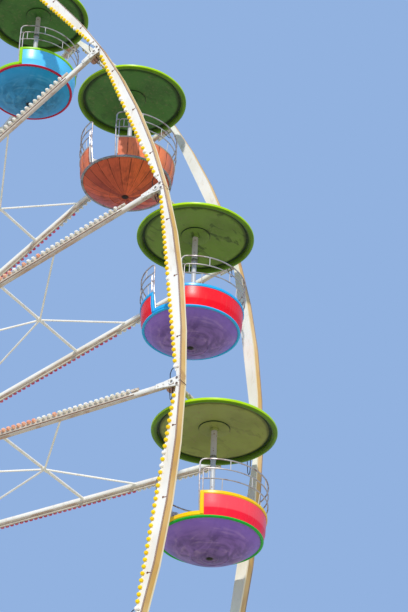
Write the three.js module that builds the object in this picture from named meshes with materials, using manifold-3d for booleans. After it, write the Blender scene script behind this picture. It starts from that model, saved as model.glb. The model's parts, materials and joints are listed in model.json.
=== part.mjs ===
// Ferris wheel, 24 open gondolas under round canopies, on two A-frames.
// Millimetres, +Z up. The origin is on the ground under the hub, and the wheel turns about Y.
import * as THREE from 'three';
import { mergeVertices } from 'three/addons/utils/BufferGeometryUtils.js';
import Module from 'manifold-3d';

const wasm = await Module();
wasm.setup();

// Driving dimensions
const GONDOLAS = 24;
const AXLE_RADIUS = 16000;        // hub centre to gondola axle
const HUB_HEIGHT = 19300;
const GAP = 0.3;                  // between pieces that touch
const SINK = 5;                   // how deep welded members run into each other

const RIM_OUTER_RADIUS = 16155;
const RIM_INNER_RADIUS = 16090;   // at the corners of the straight inner edge
const RIM_FACE_Y = 1310;          // outer face of each rim
const RIM_DEPTH = 180;
const RIM_ARC_STEPS = 4;          // outer edge steps per bay

const SPOKE_HEIGHT = 80;          // in the plane of the wheel
const SPOKE_DEPTH = 142;
const SPOKE_PROUD = 1;            // how far the tips' faces stand out past the rims'
const SPOKE_HUB_Y = 1170;
const SPOKE_ROOT_RADIUS = 900;
const FLANGE_RADIUS = 1300;
const FLANGE_DEPTH = 160;
const FLANGE_STEPS = 6;
const QUADRANTS = 4;

const TIE_RADIUS = 12610;
const TIE_SIZE = 70;
const BRACE_SIZE = 34;
const BRACE_OUTER_RADIUS = 13700;
const BRACE_INNER_RADIUS = 9650;
const INNER_TIE_RADIUS = 6700;

const GONDOLA_AXLE_RADIUS = 45;
const HANGER_INNER_Y = 1080;      // blocks on the spokes' inner faces that hold the axles
const HANGER_ROOT_RADIUS = 15560;
const HANGER_WIDTH = 120;

const DRUM_RADIUS = 460;
const DRUM_HALF_LENGTH = 1290;
const SHAFT_RADIUS = 220;
const SHAFT_HALF_LENGTH = 2330;
const SHAFT_SIDES = 24;

const SLEEVE_RADIUS = 78;
const SLEEVE_HALF_LENGTH = 150;
const SLEEVE_SIDES = 8;
const CANOPY_SIDES = 12;
const CANOPY_RADIUS = 1040;
const CANOPY_TOP_Z = -118;        // below the axle, as all gondola heights are
const CANOPY_EDGE_TOP_Z = -205;
const CANOPY_LIP_BOTTOM_Z = -262;
const CANOPY_UNDERSIDE_Z = -225;
const POST_RADIUS = 42;
const POST_SIDES = 4;

const BENCH_TOP_Z = -1860;
const BENCH_THICKNESS = 60;
const BENCH_INNER_RADIUS = 540;
const BENCH_OUTER_RADIUS = 850;   // just inside the wall's inner face

const TUB_WALL_STEPS = 4;         // flats of each half of the wall
const DOORWAY_HALF_ANGLE = THREE.MathUtils.degToRad(17);
const WALL_TOP_RADIUS = 892;
const WALL_FOOT_RADIUS = 828;
const WALL_THICKNESS = 40;
const WALL_TOP_Z = -1816;
const FLOOR_Z = -2215;
const BOWL_RIM_Z = -2240;
const BOWL_MID_RADIUS = 450;
const BOWL_MID_Z = -2466;
const BOWL_BOTTOM_Z = -2553;
const BOWL_FOOT_RADIUS = 90;
const BOWL_BAND = 6;              // how far the bowl's rim stands out past the wall's foot
const RAIL_SIZE = 32;
const LOW_RAIL_SIZE = 26;
const RAIL_RADIUS = 906;
const RAIL_TOP_Z = -1258;
const RAIL_LOW_Z = -1614;
const RAIL_FOOT_RADIUS = 800;
const RAIL_END_ANGLE = THREE.MathUtils.degToRad(14.3);

const LEG_FOOT_X = 9000;
const LEG_FOOT_Y = 3400;
const LEG_WIDTH = 460;
const LEG_DEPTH = 340;
const BEARING_Y = 1990;
const BEARING_DEPTH = 520;
const BEARING_SIZE = 900;
const LEG_TIE_HEIGHT = 8200;
const LEG_TIE_SIZE = 260;
const FOOT_LENGTH = 1500;
const FOOT_THICKNESS = 60;
const BASE_BEAM_WIDTH = 400;
const BASE_BEAM_HEIGHT = 320;

const DECK_HEIGHT = 1000;
const DECK_THICKNESS = 120;
const DECK_NEAR_Y = 980;
const DECK_WIDTH = 1700;
const DECK_LENGTH = 6400;
const DECK_LEG_SIZE = 120;

const WHITE = 0xf4efe2;
const STEEL = 0xb8b4aa;
const LIME = 0x7fae1c;
const GREY = 0x8d9094;
const LIVERIES = [0x64c8fa, 0xe8702f, 0xf01428, 0xe82a4a];

// Solids
function toManifold(geometry) {
  const plain = geometry.clone();
  plain.deleteAttribute('normal');
  plain.deleteAttribute('uv');
  const merged = mergeVertices(plain, 1e-3);
  return new wasm.Manifold(new wasm.Mesh({
    numProp: 3,
    vertProperties: new Float32Array(merged.attributes.position.array),
    triVerts: new Uint32Array(merged.index.array),
  }));
}

function toGeometry(solid) {
  const mesh = solid.getMesh();
  const geometry = new THREE.BufferGeometry();
  const places = new Float32Array(mesh.vertProperties);
  geometry.setAttribute('position', new THREE.BufferAttribute(places, 3));
  geometry.setIndex(new THREE.BufferAttribute(new Uint32Array(mesh.triVerts), 1));
  geometry.computeVertexNormals();
  return geometry;
}

function join(parts) {
  return parts.map((part) => (part.isBufferGeometry ? toManifold(part) : part))
    .reduce((sum, part) => sum.add(part));
}

// A straight bar of rectangular section from one point to another: width lies across the
// bar and square to `side`, and depth lies along `side` as nearly as the bar allows.
function bar(from, to, width, depth, side) {
  const along = new THREE.Vector3().subVectors(to, from);
  const length = along.length();
  along.normalize();
  const across = new THREE.Vector3().crossVectors(side, along).normalize();
  const deep = new THREE.Vector3().crossVectors(along, across);
  const geometry = new THREE.BoxGeometry(width, depth, length);
  const place = new THREE.Matrix4().makeBasis(across, deep, along);
  place.setPosition(new THREE.Vector3().addVectors(from, to).multiplyScalar(0.5));
  return geometry.applyMatrix4(place);
}

function box(low, high) {
  const size = new THREE.Vector3().subVectors(high, low);
  const middle = new THREE.Vector3().addVectors(low, high).multiplyScalar(0.5);
  return new THREE.BoxGeometry(size.x, size.y, size.z).translate(middle.x, middle.y, middle.z);
}

// A prism whose outline lies in the XZ plane, between two places along Y.
function prismAlongY(shape, y0, y1) {
  const geometry = new THREE.ExtrudeGeometry(shape, { depth: y1 - y0, bevelEnabled: false });
  return geometry.rotateX(Math.PI / 2).translate(0, y1, 0);
}

const vec = (x, y, z) => new THREE.Vector3(x, y, z);
const polar = (radius, angle) => new THREE.Vector2(radius * Math.cos(angle), radius * Math.sin(angle));
const Y_AXIS = vec(0, 1, 0);
const Z_AXIS = vec(0, 0, 1);
const BAY = 2 * Math.PI / GONDOLAS;

// Rim: straight inner edges between the axles and a round outer edge.
function rim(side) {
  const corners = (count, radius, step) => Array.from({ length: count }, (_, i) => polar(radius, i * step));
  const outline = new THREE.Shape(corners(GONDOLAS * RIM_ARC_STEPS, RIM_OUTER_RADIUS, BAY / RIM_ARC_STEPS));
  outline.holes.push(new THREE.Path(corners(GONDOLAS, RIM_INNER_RADIUS, -BAY)));
  const middle = side * (RIM_FACE_Y - RIM_DEPTH / 2);
  return prismAlongY(outline, middle - RIM_DEPTH / 2, middle + RIM_DEPTH / 2);
}

// One radial frame: a front and a back spoke, the axle between their tips, ties and braces.
// Each axle's flats are turned to lie the same way round as its gondola's sleeve.
const SPOKE_TIP_RADIUS = RIM_INNER_RADIUS - SPOKE_HEIGHT / 2 * Math.tan(BAY / 2) - 2 * GAP;
const SPOKE_TIP_Y = RIM_FACE_Y + SPOKE_PROUD - SPOKE_DEPTH / 2;
const HANGER_OUTER_Y = SPOKE_TIP_Y - SPOKE_DEPTH / 2 + SINK;
const HANGER_Y = (HANGER_INNER_Y + HANGER_OUTER_Y) / 2;

function spokeY(radius) {
  const t = (radius - SPOKE_ROOT_RADIUS) / (SPOKE_TIP_RADIUS - SPOKE_ROOT_RADIUS);
  return SPOKE_HUB_Y + t * (SPOKE_TIP_Y - SPOKE_HUB_Y);
}

function tie(radius) {
  return bar(vec(radius, -spokeY(radius), 0), vec(radius, spokeY(radius), 0), TIE_SIZE, TIE_SIZE, Z_AXIS);
}

function radialFrame(angle) {
  const axle = new THREE.CylinderGeometry(GONDOLA_AXLE_RADIUS, GONDOLA_AXLE_RADIUS, 2 * HANGER_Y,
    SLEEVE_SIDES).rotateY(angle).translate(AXLE_RADIUS, 0, 0);
  const parts = [axle, tie(TIE_RADIUS), tie(INNER_TIE_RADIUS)];
  for (const side of [-1, 1]) {
    const root = vec(SPOKE_ROOT_RADIUS, side * SPOKE_HUB_Y, 0);
    const tip = vec(SPOKE_TIP_RADIUS, side * SPOKE_TIP_Y, 0);
    parts.push(bar(root, tip, SPOKE_HEIGHT, SPOKE_DEPTH, Y_AXIS));
    const hangerY = side * HANGER_Y;
    parts.push(bar(vec(HANGER_ROOT_RADIUS, hangerY, 0), vec(AXLE_RADIUS + HANGER_WIDTH / 2, hangerY, 0),
      HANGER_WIDTH, HANGER_OUTER_Y - HANGER_INNER_Y, Y_AXIS));
    for (const radius of [BRACE_OUTER_RADIUS, BRACE_INNER_RADIUS]) {
      const end = vec(radius, side * spokeY(radius), 0);
      parts.push(bar(vec(TIE_RADIUS, 0, 0), end, BRACE_SIZE, BRACE_SIZE, Z_AXIS));
    }
  }
  return toGeometry(join(parts)).rotateY(-angle);
}

// A quarter of the spokes, joined by its quarter of the two hub flanges.
function flangeQuarter(side) {
  const margin = GAP / DRUM_RADIUS;
  const start = -BAY / 2 + margin;
  const step = (2 * Math.PI / QUADRANTS - 2 * margin) / FLANGE_STEPS;
  const innerRadius = (DRUM_RADIUS + GAP) / Math.cos(step / 2);
  const arc = (radius) => Array.from({ length: FLANGE_STEPS + 1 },
    (_, i) => polar(radius, start + i * step));
  const outline = new THREE.Shape([...arc(FLANGE_RADIUS), ...arc(innerRadius).reverse()]);
  const y = side * SPOKE_HUB_Y;
  return prismAlongY(outline, y - FLANGE_DEPTH / 2, y + FLANGE_DEPTH / 2);
}

function spokeQuadrant() {
  const frames = Array.from({ length: GONDOLAS / QUADRANTS }, (_, i) => radialFrame(i * BAY));
  return join([...frames, flangeQuarter(-1), flangeQuarter(1)]);
}

function hubAxle() {
  const profile = [
    [0, -SHAFT_HALF_LENGTH], [SHAFT_RADIUS, -SHAFT_HALF_LENGTH], [SHAFT_RADIUS, -DRUM_HALF_LENGTH],
    [DRUM_RADIUS, -DRUM_HALF_LENGTH], [DRUM_RADIUS, DRUM_HALF_LENGTH], [SHAFT_RADIUS, DRUM_HALF_LENGTH],
    [SHAFT_RADIUS, SHAFT_HALF_LENGTH], [0, SHAFT_HALF_LENGTH],
  ].map(([r, y]) => new THREE.Vector2(r, y));
  return new THREE.LatheGeometry(profile, SHAFT_SIDES);
}

// A solid through a row of rings of points, each ring a closed outline, with flat ends.
function loft(rings) {
  const count = rings[0].length;
  const positions = rings.flat().flatMap((p) => [p.x, p.y, p.z]);
  const index = [];
  for (let r = 0; r + 1 < rings.length; r += 1) {
    for (let i = 0; i < count; i += 1) {
      const a = r * count + i;
      const b = r * count + (i + 1) % count;
      index.push(a, b, b + count, a, b + count, a + count);
    }
  }
  const last = (rings.length - 1) * count;
  for (let i = 1; i + 1 < count; i += 1) {
    index.push(0, i + 1, i, last, last + i, last + i + 1);
  }
  const geometry = new THREE.BufferGeometry();
  geometry.setAttribute('position', new THREE.Float32BufferAttribute(positions, 3));
  geometry.setIndex(index);
  return geometry;
}

const around = (radius, angle, z) => vec(radius * Math.cos(angle), radius * Math.sin(angle), z);

// Gondola top: the sleeve on the axle, the canopy, and the post down to the tub floor.
function canopy() {
  const profile = [
    [0, CANOPY_UNDERSIDE_Z], [CANOPY_RADIUS, CANOPY_LIP_BOTTOM_Z],
    [CANOPY_RADIUS, CANOPY_EDGE_TOP_Z], [0, CANOPY_TOP_Z],
  ].map(([r, z]) => new THREE.Vector2(r, z));
  const roof = new THREE.LatheGeometry(profile, CANOPY_SIDES).rotateX(Math.PI / 2);
  const postTop = -GONDOLA_AXLE_RADIUS - 2 * SINK;
  const postFoot = FLOOR_Z + GAP;
  const post = new THREE.CylinderGeometry(POST_RADIUS, POST_RADIUS, postTop - postFoot, POST_SIDES)
    .rotateX(Math.PI / 2).translate(0, 0, (postTop + postFoot) / 2);
  const sleeve = new THREE.CylinderGeometry(SLEEVE_RADIUS, SLEEVE_RADIUS, 2 * SLEEVE_HALF_LENGTH,
    SLEEVE_SIDES);
  const boreRadius = (GONDOLA_AXLE_RADIUS + GAP) / Math.cos(Math.PI / SLEEVE_SIDES);
  const bore = new THREE.CylinderGeometry(boreRadius, boreRadius, 4 * SLEEVE_HALF_LENGTH, SLEEVE_SIDES)
    .rotateY(Math.PI / SLEEVE_SIDES);
  return join([roof, post, sleeve]).subtract(toManifold(bore));
}

// The corners of the tub's plan on one side, from doorway edge to doorway edge.
function sideAngles(side, halfAngle) {
  const start = -Math.PI / 2 + halfAngle;
  const step = (Math.PI - 2 * halfAngle) / TUB_WALL_STEPS;
  const turn = side > 0 ? 0 : Math.PI;
  return Array.from({ length: TUB_WALL_STEPS + 1 }, (_, i) => turn + start + i * step);
}

function bowl() {
  const angles = [...sideAngles(1, DOORWAY_HALF_ANGLE), ...sideAngles(-1, DOORWAY_HALF_ANGLE)];
  const rimRadius = WALL_FOOT_RADIUS + BOWL_BAND;
  const profile = [[BOWL_FOOT_RADIUS, BOWL_BOTTOM_Z], [BOWL_MID_RADIUS, BOWL_MID_Z],
    [rimRadius, BOWL_RIM_Z], [rimRadius, FLOOR_Z]];
  return loft(profile.map(([radius, z]) => angles.map((angle) => around(radius, angle, z))));
}

function tubWall(side) {
  const foot = FLOOR_Z - SINK;
  return loft(sideAngles(side, DOORWAY_HALF_ANGLE).map((angle) => [
    around(WALL_FOOT_RADIUS, angle, foot), around(WALL_TOP_RADIUS, angle, WALL_TOP_Z),
    around(WALL_TOP_RADIUS - WALL_THICKNESS, angle, WALL_TOP_Z),
    around(WALL_FOOT_RADIUS - WALL_THICKNESS, angle, foot),
  ]).reverse());
}

// A curved bench along the wall, on one side of the tub.
function bench(side) {
  const low = BENCH_TOP_Z - BENCH_THICKNESS;
  return loft(sideAngles(side, DOORWAY_HALF_ANGLE).map((angle) => [
    around(BENCH_OUTER_RADIUS, angle, low), around(BENCH_OUTER_RADIUS, angle, BENCH_TOP_Z),
    around(BENCH_INNER_RADIUS, angle, BENCH_TOP_Z), around(BENCH_INNER_RADIUS, angle, low),
  ]).reverse());
}

// The rails lean out with height, as the wall does.
function railRadius(z) {
  const rise = (z - FLOOR_Z) / (RAIL_TOP_Z - FLOOR_Z);
  return RAIL_FOOT_RADIUS + rise * (RAIL_RADIUS - RAIL_FOOT_RADIUS);
}

// The guard's hoop: an end post up from the sill, the top rail, and the other end post.
function guardHoop(side) {
  const angles = sideAngles(side, RAIL_END_ANGLE);
  const inset = RAIL_SIZE / RAIL_RADIUS;
  const last = angles.length - 1;
  const section = (outerAngle, innerAngle, outerZ, innerZ) => {
    const outer = railRadius(outerZ);
    const inner = railRadius(innerZ);
    const half = RAIL_SIZE / 2;
    return [around(outer + half, outerAngle, outerZ), around(outer - half, outerAngle, outerZ),
      around(inner - half, innerAngle, innerZ), around(inner + half, innerAngle, innerZ)];
  };
  const low = RAIL_TOP_Z - RAIL_SIZE;
  const foot = FLOOR_Z - SINK;
  const first = angles[0];
  const end = angles[last];
  return loft([
    section(first, first + inset, foot, foot),
    section(first, first + inset, RAIL_TOP_Z, low),
    ...angles.slice(1, last).map((angle) => section(angle, angle, RAIL_TOP_Z, low)),
    section(end, end - inset, RAIL_TOP_Z, low),
    section(end, end - inset, foot, foot),
  ].reverse());
}

function lowRail(side) {
  const radius = railRadius(RAIL_LOW_Z);
  const half = LOW_RAIL_SIZE / 2;
  return loft(sideAngles(side, RAIL_END_ANGLE + half / radius).map((angle) => [
    around(radius + half, angle, RAIL_LOW_Z - half), around(radius + half, angle, RAIL_LOW_Z + half),
    around(radius - half, angle, RAIL_LOW_Z + half), around(radius - half, angle, RAIL_LOW_Z - half),
  ]).reverse());
}

function tub() {
  const parts = [bowl()];
  for (const side of [-1, 1]) {
    parts.push(tubWall(side), bench(side), guardHoop(side), lowRail(side));
  }
  return join(parts);
}

// Support: bearing block, two legs with a tie, and foot plates, on one side of the wheel.
function support(side) {
  const y = side * BEARING_Y;
  const block = box(vec(-BEARING_SIZE / 2, y - BEARING_DEPTH / 2, HUB_HEIGHT - BEARING_SIZE / 2),
    vec(BEARING_SIZE / 2, y + BEARING_DEPTH / 2, HUB_HEIGHT + BEARING_SIZE / 2));
  const parts = [block];
  const tieAt = (HUB_HEIGHT - LEG_TIE_HEIGHT) / HUB_HEIGHT;
  const tieY = side * (BEARING_Y + tieAt * (LEG_FOOT_Y - BEARING_Y));
  for (const hand of [-1, 1]) {
    const footX = hand * LEG_FOOT_X;
    const footY = side * LEG_FOOT_Y;
    const leg = bar(vec(0, y, HUB_HEIGHT), vec(footX, footY, 0), LEG_WIDTH, LEG_DEPTH, Y_AXIS);
    parts.push(leg);
    parts.push(box(vec(footX - FOOT_LENGTH / 2, footY - FOOT_LENGTH / 2, 0),
      vec(footX + FOOT_LENGTH / 2, footY + FOOT_LENGTH / 2, FOOT_THICKNESS)));
  }
  const tieX = tieAt * LEG_FOOT_X;
  parts.push(bar(vec(-tieX, tieY, LEG_TIE_HEIGHT), vec(tieX, tieY, LEG_TIE_HEIGHT),
    LEG_TIE_SIZE, LEG_TIE_SIZE, Y_AXIS));
  const reach = 2 * LEG_FOOT_X;
  const ground = box(vec(-reach, -reach, -LEG_WIDTH), vec(reach, reach, 0));
  const boreRadius = (SHAFT_RADIUS + GAP) / Math.cos(Math.PI / SHAFT_SIDES);
  const bore = new THREE.CylinderGeometry(boreRadius, boreRadius, 2 * BEARING_DEPTH, SHAFT_SIDES)
    .rotateY(Math.PI / SHAFT_SIDES).translate(0, y, HUB_HEIGHT);
  return join(parts).subtract(toManifold(ground)).subtract(toManifold(bore));
}

// Base: cross beams between the front and back feet, and a long beam under the wheel.
function baseFrame() {
  const reach = LEG_FOOT_Y - FOOT_LENGTH / 2 - GAP;
  const half = BASE_BEAM_WIDTH / 2;
  const parts = [box(vec(-LEG_FOOT_X, -half, 0), vec(LEG_FOOT_X, half, BASE_BEAM_HEIGHT))];
  for (const hand of [-1, 1]) {
    const x = hand * LEG_FOOT_X;
    parts.push(box(vec(x - half, -reach, 0), vec(x + half, reach, BASE_BEAM_HEIGHT)));
    const deckX = hand * (DECK_LENGTH / 2 - DECK_LEG_SIZE);
    parts.push(box(vec(deckX - half, -DECK_NEAR_Y - DECK_WIDTH, 0),
      vec(deckX + half, DECK_NEAR_Y, BASE_BEAM_HEIGHT)));
  }
  return join(parts);
}

// Boarding deck beside the lowest gondola, on four legs from the base beams.
function boardingDeck() {
  const farY = -DECK_NEAR_Y - DECK_WIDTH;
  const parts = [box(vec(-DECK_LENGTH / 2, farY, DECK_HEIGHT - DECK_THICKNESS),
    vec(DECK_LENGTH / 2, -DECK_NEAR_Y, DECK_HEIGHT))];
  const half = DECK_LEG_SIZE / 2;
  for (const hand of [-1, 1]) {
    const x = hand * (DECK_LENGTH / 2 - DECK_LEG_SIZE);
    for (const y of [farY + DECK_LEG_SIZE, -DECK_NEAR_Y - DECK_LEG_SIZE]) {
      parts.push(box(vec(x - half, y - half, BASE_BEAM_HEIGHT + GAP),
        vec(x + half, y + half, DECK_HEIGHT - SINK)));
    }
  }
  return join(parts);
}

// Assembly
const wheel = new THREE.Group();

function paint(color, roughness, metalness) {
  return new THREE.MeshStandardMaterial({ color, roughness, metalness });
}

function add(name, shape, material, position = vec(0, 0, 0), turn = 0) {
  const mesh = new THREE.Mesh(shape.isBufferGeometry ? shape : toGeometry(shape), material);
  mesh.name = name;
  mesh.position.copy(position);
  mesh.rotation.y = turn;
  wheel.add(mesh);
}

const HUB = vec(0, 0, HUB_HEIGHT);
const white = paint(WHITE, 0.45, 0.1);
const steel = paint(STEEL, 0.4, 0.8);

add('front_rim', rim(-1), white, HUB);
add('back_rim', rim(1), white, HUB);
const quadrant = toGeometry(spokeQuadrant());
for (let i = 0; i < QUADRANTS; i += 1) {
  add(`spoke_quadrant_${i + 1}`, quadrant, white, HUB, -i * Math.PI / 2);
}
add('hub_axle', hubAxle(), steel, HUB);
add('front_support', support(-1), white);
add('back_support', support(1), white);
add('base_frame', baseFrame(), paint(GREY, 0.6, 0.3));
add('boarding_deck', boardingDeck(), paint(GREY, 0.7, 0.2));

// Gondola 1 is the one at 45 degrees above the level of the hub, and the numbers run clockwise.
const FIRST_GONDOLA_ANGLE = Math.PI / 4;  // the liveries repeat after every four gondolas
const canopyShape = toGeometry(canopy());
const tubShape = toGeometry(tub());
const lime = paint(LIME, 0.4, 0);
const tubPaints = LIVERIES.map((color) => paint(color, 0.35, 0));
for (let i = 0; i < GONDOLAS; i += 1) {
  const angle = FIRST_GONDOLA_ANGLE - i * BAY;
  const place = vec(AXLE_RADIUS * Math.cos(angle), 0, HUB_HEIGHT + AXLE_RADIUS * Math.sin(angle));
  const number = String(i + 1).padStart(2, '0');
  add(`gondola_${number}_canopy`, canopyShape, lime, place);
  add(`gondola_${number}_tub`, tubShape, tubPaints[i % tubPaints.length], place);
}

export default wheel;
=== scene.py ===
import json
from math import atan2, ceil, cos, pi, radians, sin, sqrt
import random

import bmesh
import bpy
from mathutils import Matrix, Vector


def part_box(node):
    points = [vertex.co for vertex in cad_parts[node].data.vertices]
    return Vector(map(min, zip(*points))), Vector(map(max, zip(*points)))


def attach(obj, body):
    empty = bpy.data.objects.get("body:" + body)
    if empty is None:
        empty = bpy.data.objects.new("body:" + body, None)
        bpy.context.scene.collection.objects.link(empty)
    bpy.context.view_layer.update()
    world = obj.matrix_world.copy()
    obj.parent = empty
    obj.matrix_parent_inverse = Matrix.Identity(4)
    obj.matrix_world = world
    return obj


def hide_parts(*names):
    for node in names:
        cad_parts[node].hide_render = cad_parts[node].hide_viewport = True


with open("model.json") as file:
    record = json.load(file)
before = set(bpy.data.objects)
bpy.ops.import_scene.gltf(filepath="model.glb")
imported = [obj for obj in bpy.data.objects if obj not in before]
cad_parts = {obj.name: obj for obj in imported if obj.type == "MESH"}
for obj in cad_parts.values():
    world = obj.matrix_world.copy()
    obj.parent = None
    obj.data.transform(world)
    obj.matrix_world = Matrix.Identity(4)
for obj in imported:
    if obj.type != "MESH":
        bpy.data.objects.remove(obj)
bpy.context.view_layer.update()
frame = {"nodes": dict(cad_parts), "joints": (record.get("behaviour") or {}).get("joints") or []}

# Places and sizes, in metres. The wheel turns about Y, and gondola 1 is at 45 degrees above the hub.
PINS = {joint["name"]: Vector(joint["pos_m"]) for joint in frame["joints"]}
HUB = PINS["wheel_spin"]
GONDOLAS = len(PINS) - 1
AXLES = [PINS[f"gondola_{number:02d}_level"] for number in range(1, GONDOLAS + 1)]
AXLE_RADIUS = (AXLES[0] - HUB).length
BAY = 2 * pi / GONDOLAS
ANGLES = [atan2(axle.z - HUB.z, axle.x - HUB.x) for axle in AXLES]
RIM_FACE = -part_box("front_rim")[0].y
RIM_BACK = -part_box("front_rim")[1].y
RIM_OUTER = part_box("front_rim")[1].z - HUB.z
RIM_CORNER = 16.09              # radius of the rims' inner corners
PLANKS, BOWL_PLANKS = 26, 22    # boards round the wooden tub's wall and bowl
CREASE_Z = -2.105               # the tub walls' crease, from the axle
UP, ALONG = Vector((0, 0, 1)), Vector((0, 1, 0))


def rgb(red, green, blue):
    """A colour given as it looks on screen, 0 to 255, as Blender's linear values."""
    parts = [channel / 255 for channel in (red, green, blue)]
    return (*[p / 12.92 if p < 0.04045 else ((p + 0.055) / 1.055) ** 2.4 for p in parts], 1.0)


def shade(colour, factor):
    return (*[channel * factor for channel in colour[:3]], 1.0)


def add(name, data, place=Vector()):
    """A new object in the scene."""
    made = bpy.data.objects.new(name, data)
    made.location = place
    bpy.context.scene.collection.objects.link(made)
    return made


# Camera and light
CAMERA_PLACE = Vector((30.850, -23.340, 2.425))
AZIMUTH, ELEVATION, ROLL = map(radians, (32.993, -34.682, 2.415))
FOCAL_PIXELS, FRAME_HEIGHT, SENSOR, FAR_CLIP = 1968.5, 612, 36.0, 500
SUN_TRAVEL, SUN_COLOUR = Vector((-0.45, 0.72, -0.56)), (1.0, 0.965, 0.9)
SUN_STRENGTH, SUN_SPREAD = 3.0, radians(2.5)
SKY = rgb(146, 178, 224)


def camera_axes():
    """Turned round the wheel, tilted up, then rolled."""
    level = Vector((cos(AZIMUTH), sin(AZIMUTH), 0))
    back = Vector((sin(AZIMUTH) * cos(ELEVATION), -cos(AZIMUTH) * cos(ELEVATION), sin(ELEVATION)))
    above = back.cross(level)
    right = cos(ROLL) * level + sin(ROLL) * above
    top = cos(ROLL) * above - sin(ROLL) * level
    return Matrix((right, top, back)).transposed()


def camera_and_light():
    """The photo's camera, a soft sun and a plain sky."""
    scene = bpy.context.scene
    scene.view_settings.view_transform = "Standard"
    scene.camera = add("camera", bpy.data.cameras.new("camera"))
    scene.camera.matrix_world = Matrix.Translation(CAMERA_PLACE) @ camera_axes().to_4x4()
    lens = scene.camera.data
    lens.sensor_width, lens.clip_end = SENSOR, FAR_CLIP
    lens.lens = SENSOR * FOCAL_PIXELS / FRAME_HEIGHT

    sun = add("sun", bpy.data.lights.new("sun", "SUN"))
    sun.data.energy, sun.data.angle, sun.data.color = SUN_STRENGTH, SUN_SPREAD, SUN_COLOUR
    sun.rotation_mode = "QUATERNION"
    sun.rotation_quaternion = SUN_TRAVEL.to_track_quat("-Z", "Y")

    scene.world = bpy.data.worlds.new("sky")
    scene.world.use_nodes = True
    sky = scene.world.node_tree.nodes["Background"]
    sky.inputs["Color"].default_value = SKY
    sky.inputs["Strength"].default_value = 1.0


# Node materials
class Finish:
    """A node material, whose patterns lie in each piece's own metres."""

    def __init__(self, name, colour, roughness=0.45, metallic=0.0, specular=0.5):
        self.material = bpy.data.materials.new(name)
        self.material.use_nodes = True
        self.tree = self.material.node_tree
        self.shader = self.tree.nodes["Principled BSDF"]
        uniform = {"Roughness": roughness, "Metallic": metallic, "Specular IOR Level": specular}
        for socket, value in uniform.items():
            self.shader.inputs[socket].default_value = value
        self.places = self.node("TexCoord", output="Object")
        self.tone = colour

    def node(self, kind, inputs=(), output=0, **settings):
        """A new node's output."""
        made = self.tree.nodes.new("ShaderNode" + kind)
        for key, value in settings.items():
            setattr(made, key, value)
        for key, value in dict(inputs).items():
            self.feed(made.inputs[key], value)
        return made.outputs[output]

    def feed(self, socket, value):
        if isinstance(value, bpy.types.NodeSocket):
            self.tree.links.new(value, socket)
        else:
            socket.default_value = value

    def calc(self, operation, first, second=0.0):
        return self.node("Math", {0: first, 1: second}, operation=operation)

    def plus(self, first, second):
        return self.calc("ADD", first, second)

    def minus(self, first, second):
        return self.calc("SUBTRACT", first, second)

    def times(self, first, second):
        return self.calc("MULTIPLY", first, second)

    def unsigned(self, value):
        return self.calc("ABSOLUTE", value)

    def axis(self, name, vector=None):
        """One coordinate of a vector, or else of the place."""
        return self.node("SeparateXYZ", {0: vector or self.places}, name)

    def along(self, stretch, turn=(0, 0, 0), places=None):
        return self.node("Mapping", {"Vector": places or self.places, "Rotation": turn, "Scale": stretch})

    def noise(self, size, detail=3.0, stretch=(1, 1, 1), twist=0.0, places=None):
        """Noise whose features are about size across, drawn out where stretch is small."""
        return self.node("TexNoise", {"Vector": self.along(stretch, places=places), "Scale": 1 / size,
                                      "Detail": detail, "Distortion": twist})

    def band(self, value, low, high):
        """0 below low, 1 above high, smooth between; the other way round if low is above high."""
        return self.node("MapRange", {"Value": value, "From Min": low, "From Max": high},
                         interpolation_type="SMOOTHSTEP")

    def blend(self, factor, first, second):
        return self.node("Mix", {0: factor, 6: first, 7: second}, 2, data_type="RGBA")

    def plane(self, about_hub):
        """The two coordinates across the piece's own Z, or across the wheel's shaft."""
        return self.axis("X"), self.minus(self.axis("Z"), HUB.z) if about_hub else self.axis("Y")

    def turns(self, about_hub=False):
        """The angle round that axis, in turns."""
        first, second = self.plane(about_hub)
        return self.calc("DIVIDE", self.calc("ARCTAN2", second, first), 2 * pi)

    def radius(self, about_hub=False):
        first, second = self.plane(about_hub)
        return self.calc("SQRT", self.plus(self.calc("POWER", first, 2.0), self.calc("POWER", second, 2.0)))

    def rings(self, around, across):
        """Places for patterns that run round the piece's own Z: drawn out round it, tight across it."""
        radius = self.radius()
        unit = self.calc("DIVIDE", around, radius)
        x, y = [self.times(self.axis(name), unit) for name in "XY"]
        return self.node("CombineXYZ", {0: x, 1: y, 2: self.times(radius, across)})

    def lay(self, colour, mask, amount=None):
        """A colour over those that lie there, as much as the mask says, times the amount."""
        share = mask if amount is None else self.times(mask, amount)
        self.tone = self.blend(share, self.tone, colour)
        self.feed(self.shader.inputs["Base Color"], self.tone)

    def rough(self, value, low, high):
        scaled = self.node("MapRange", {"Value": value, "To Min": low, "To Max": high})
        self.feed(self.shader.inputs["Roughness"], scaled)

    def bump(self, height, distance):
        relief = self.node("Bump", {"Height": height, "Distance": distance, "Strength": 1.0})
        self.feed(self.shader.inputs["Normal"], relief)


RUST, GRIME = rgb(122, 66, 34), rgb(150, 128, 100)
UNDER_RIM_SHADE = (0.842, 0.885)      # where painted shade darkens a canopy's underside next to the groove, by radius
ROLL_RIM_SHADE = (1.0, 0.955)         # where painted shade darkens the rolled edge towards the groove
TAN_STARTS = (16.10, 16.125)    # where the rims' white sides end and their tan outer faces begin
SEAM = 0.0026                   # half the width of a rim joint's dark line, as a share of a bay


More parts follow.
